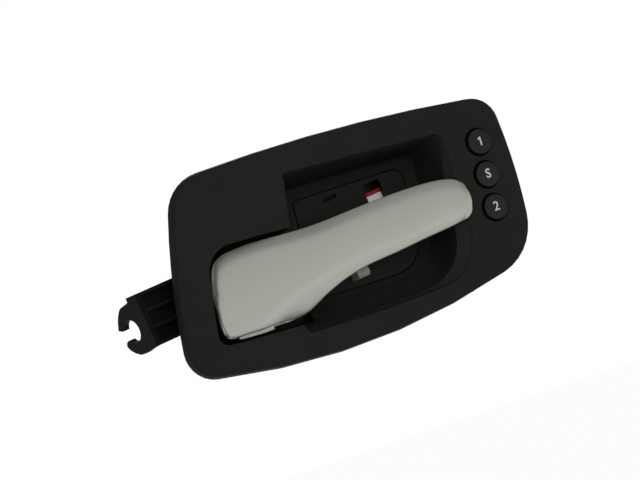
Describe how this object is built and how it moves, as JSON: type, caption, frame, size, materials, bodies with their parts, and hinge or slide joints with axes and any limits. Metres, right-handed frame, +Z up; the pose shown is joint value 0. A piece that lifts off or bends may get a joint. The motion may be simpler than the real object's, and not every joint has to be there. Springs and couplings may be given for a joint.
{
  "type": "car interior door handle",
  "caption": "Car interior door handle: moulded bezel with a finger cup, sprung pull lever, lock slide with a colour flag and push buttons.",
  "frame": {"origin": "middle of the bezel, in the plane where its rim seats on the door trim", "axes": "+X along the bezel towards the lever's tip, +Y into the door, +Z up"},
  "size_m": [0.2103, 0.0525, 0.104],
  "materials": {
    "bezel_plastic": "fine grained moulded plastic",
    "carrier_plastic": "plain moulded glass-filled plastic",
    "lever_paint": "satin silver paint",
    "pin_steel": "ground steel",
    "clip_steel": "phosphated spring steel",
    "spring_steel": "drawn spring wire and strip",
    "bumper_rubber": "matt rubber",
    "lock_plastic": "light grey moulded plastic",
    "indicator_red": "red plastic",
    "button_plastic": "satin moulded plastic",
    "module_plastic": "plain moulded plastic",
    "silicone": "moulded silicone",
    "board": "solder mask over glass-fibre board",
    "pin_brass": "tinned brass",
    "screw_steel": "zinc-plated steel"
  },
  "bodies": {
    "housing": {"bezel": "bezel_plastic", "carrier": "carrier_plastic", "hinge_bracket": "carrier_plastic", "cable_bracket": "carrier_plastic", "slide_guide": "carrier_plastic", "hinge_pin": "pin_steel", "pin_clip": "clip_steel", "return_spring": "spring_steel", "rest_bumper": "bumper_rubber", "lock_spring": "spring_steel", "switch_housing": "module_plastic", "button_pad": "silicone", "circuit_board": "board", "switch_cover": "module_plastic", "connector_pins": "pin_brass", "switch_screws": "screw_steel", "carrier_screws": "screw_steel", "trim_clips": "clip_steel"},
    "lever": {"lever": "lever_paint"},
    "lock": {"lock_slide": "lock_plastic", "lock_indicator": "indicator_red"},
    "button_1": {"button_1": "button_plastic"},
    "button_s": {"button_s": "button_plastic"},
    "button_2": {"button_2": "button_plastic"}
  },
  "joints": [
    {"name": "lever_pull", "type": "hinge", "parent": "housing", "child": "lever", "pos_m": [-0.05942, 0.004, -0.00835], "axis": [0.1392, 0, -0.9903], "range_deg": [0, 35], "stiffness_Nm_per_rad": 1, "springref_deg": -20.05, "deforming": ["return_spring"]},
    {"name": "lock_travel", "type": "slide", "parent": "housing", "child": "lock", "axis": [-0.1392, 0, 0.9903], "range_m": [0, 0.0055]},
    {"name": "button_1_press", "type": "slide", "parent": "housing", "child": "button_1", "axis": [0, 1, 0], "range_m": [0, 0.001], "stiffness_N_per_m": 1500, "springref_m": -0.0002, "deforming": ["button_pad"]},
    {"name": "button_s_press", "type": "slide", "parent": "housing", "child": "button_s", "axis": [0, 1, 0], "range_m": [0, 0.001], "stiffness_N_per_m": 1500, "springref_m": -0.0002, "deforming": ["button_pad"]},
    {"name": "button_2_press", "type": "slide", "parent": "housing", "child": "button_2", "axis": [0, 1, 0], "range_m": [0, 0.001], "stiffness_N_per_m": 1500, "springref_m": -0.0002, "deforming": ["button_pad"]}
  ]
}
